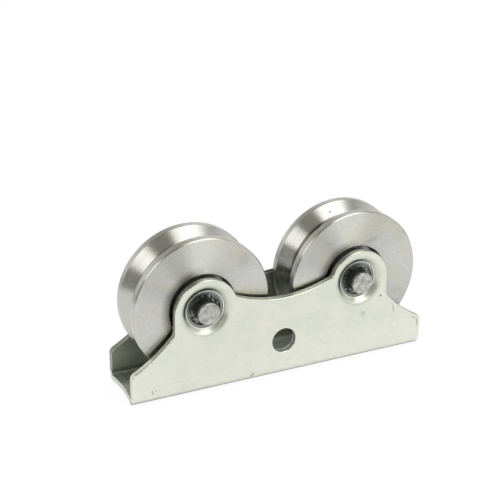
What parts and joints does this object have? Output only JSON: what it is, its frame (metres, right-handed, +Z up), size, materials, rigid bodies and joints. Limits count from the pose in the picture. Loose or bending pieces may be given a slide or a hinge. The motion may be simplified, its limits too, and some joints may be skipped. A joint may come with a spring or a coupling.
{
  "type": "twin v groove wheel bracket",
  "caption": "Folded steel channel bracket with V groove wheels on ball bearings, for a sliding gate or door that runs on an inverted V rail.",
  "frame": {"origin": "middle of the underside of the bracket's web", "axes": "+X along the bracket to the right wheel, +Y across it to the back wall along the axles, +Z up from the web to the wheels"},
  "size_m": [0.091, 0.0222, 0.0446],
  "materials": {
    "zinc_plate": "satin zinc plating with a faint yellow-green tint",
    "turned_steel": "bare turned steel",
    "bearing_steel": "ground",
    "ball_steel": "polished",
    "cage_steel": "pressed",
    "shield_steel": "pressed",
    "axle_steel": "bare drawn bar"
  },
  "bodies": {
    "bracket_frame": {"bracket": "zinc_plate", "left_axle": "axle_steel", "left_bearing_inner_ring": "bearing_steel", "left_spacer_front": "axle_steel", "left_spacer_back": "axle_steel", "right_axle": "axle_steel", "right_bearing_inner_ring": "bearing_steel", "right_spacer_front": "axle_steel", "right_spacer_back": "axle_steel"},
    "left_wheel_set": {"left_wheel": "turned_steel", "left_bearing_outer_ring": "bearing_steel", "left_shield_front": "shield_steel", "left_shield_back": "shield_steel"},
    "left_cage_set": {"left_bearing_balls": "ball_steel", "left_cage_front": "cage_steel", "left_cage_back": "cage_steel", "left_cage_rivets": "cage_steel"},
    "right_wheel_set": {"right_wheel": "turned_steel", "right_bearing_outer_ring": "bearing_steel", "right_shield_front": "shield_steel", "right_shield_back": "shield_steel"},
    "right_cage_set": {"right_bearing_balls": "ball_steel", "right_cage_front": "cage_steel", "right_cage_back": "cage_steel", "right_cage_rivets": "cage_steel"}
  },
  "joints": [
    {"name": "left_wheel_spin", "type": "hinge", "parent": "bracket_frame", "child": "left_wheel_set", "pos_m": [-0.02375, 0, 0.0246], "axis": [0, 1, 0], "continuous": true},
    {"name": "left_cage_roll", "type": "hinge", "parent": "bracket_frame", "child": "left_cage_set", "pos_m": [-0.02375, 0, 0.0246], "axis": [0, 1, 0], "continuous": true},
    {"name": "right_wheel_spin", "type": "hinge", "parent": "bracket_frame", "child": "right_wheel_set", "pos_m": [0.02375, 0, 0.0246], "axis": [0, 1, 0], "continuous": true},
    {"name": "right_cage_roll", "type": "hinge", "parent": "bracket_frame", "child": "right_cage_set", "pos_m": [0.02375, 0, 0.0246], "axis": [0, 1, 0], "continuous": true}
  ],
  "couplings": [
    {"joint": "left_cage_roll", "follows": "left_wheel_spin", "ratio": 0.64},
    {"joint": "right_cage_roll", "follows": "right_wheel_spin", "ratio": 0.64}
  ]
}
